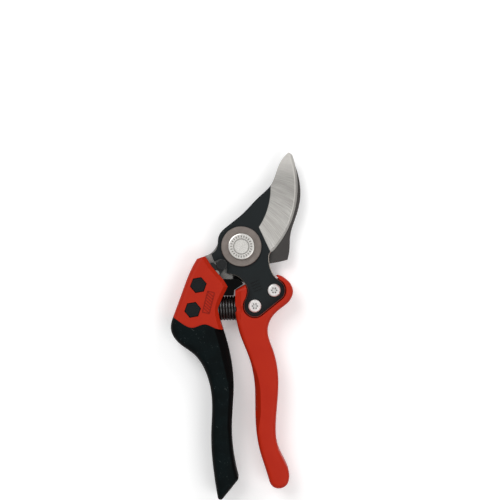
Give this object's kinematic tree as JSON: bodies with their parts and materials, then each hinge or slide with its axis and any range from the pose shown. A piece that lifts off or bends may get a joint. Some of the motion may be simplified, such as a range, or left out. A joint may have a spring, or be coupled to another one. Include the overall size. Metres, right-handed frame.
{
  "type": "pruning shears",
  "caption": "Bypass pruning shears with a curved ground blade, a hooked counter blade, a coil opening spring, a thumb catch and one elastomer-covered handle.",
  "frame": {"origin": "on the pivot axis, at the end face of the pivot bolt, level with the surface the shears lie on", "axes": "+Z along the pivot axis towards the bolt head and away from the surface, +Y from the handles towards the blade tip, +X towards the moving handle"},
  "size_m": [0.0733, 0.1962, 0.019],
  "materials": {
    "coated_blade_steel": "black coated carbon steel with a ground bevel",
    "coated_hook_steel": "black coated forged steel",
    "red_body": "satin orange-red glass-filled nylon",
    "red_handle": "satin orange-red coated aluminium",
    "grip_elastomer": "matt black elastomer",
    "black_bolts": "blackened steel",
    "black_nuts": "blackened steel",
    "zinc_screws": "bright zinc plate",
    "red_washers": "red nylon",
    "insert_brass": "machined brass",
    "bright_bolt": "bright zinc plate",
    "turned_steel": "turned steel",
    "bush_bronze": "sintered bronze",
    "back_washer_steel": "spring steel",
    "nut_steel": "zinc plated steel",
    "lock_plate_steel": "pressed steel",
    "lock_screw_steel": "zinc plated steel",
    "fixed_seat_nylon": "black nylon",
    "moving_seat_nylon": "black nylon",
    "spring_steel": "black phosphated spring steel",
    "stop_rubber": "black rubber",
    "catch_plastic": "black glass-filled nylon",
    "pin_steel": "steel"
  },
  "bodies": {
    "fixed_half": {"hook": "coated_hook_steel", "fixed_handle": "red_body", "soft_grip": "grip_elastomer", "handle_bolts": "black_bolts", "handle_nuts": "black_nuts", "pivot_bolt": "bright_bolt", "front_washer": "turned_steel", "pivot_bush": "bush_bronze", "back_washer": "back_washer_steel", "pivot_nut": "nut_steel", "nut_lock_plate": "lock_plate_steel", "nut_lock_screw": "lock_screw_steel", "fixed_spring_seat": "fixed_seat_nylon", "coil_spring": "spring_steel", "bump_stop": "stop_rubber", "lock_pin": "pin_steel"},
    "moving_half": {"blade": "coated_blade_steel", "moving_handle": "red_handle", "blade_screws": "zinc_screws", "screw_washers": "red_washers", "screw_inserts": "insert_brass", "moving_spring_seat": "moving_seat_nylon"},
    "catch": {"lock_catch": "catch_plastic"}
  },
  "joints": [
    {"name": "handle_pivot", "type": "hinge", "parent": "fixed_half", "child": "moving_half", "pos_m": [0, 0, 0], "axis": [0, 0, 1], "range_deg": [0, 29], "stiffness_Nm_per_rad": 0.4, "springref_deg": 42.97, "deforming": ["coil_spring"]},
    {"name": "catch_pivot", "type": "hinge", "parent": "fixed_half", "child": "catch", "pos_m": [-0.01417, -0.01536, 0], "axis": [0, 0, -1], "range_deg": [0, 25]}
  ]
}
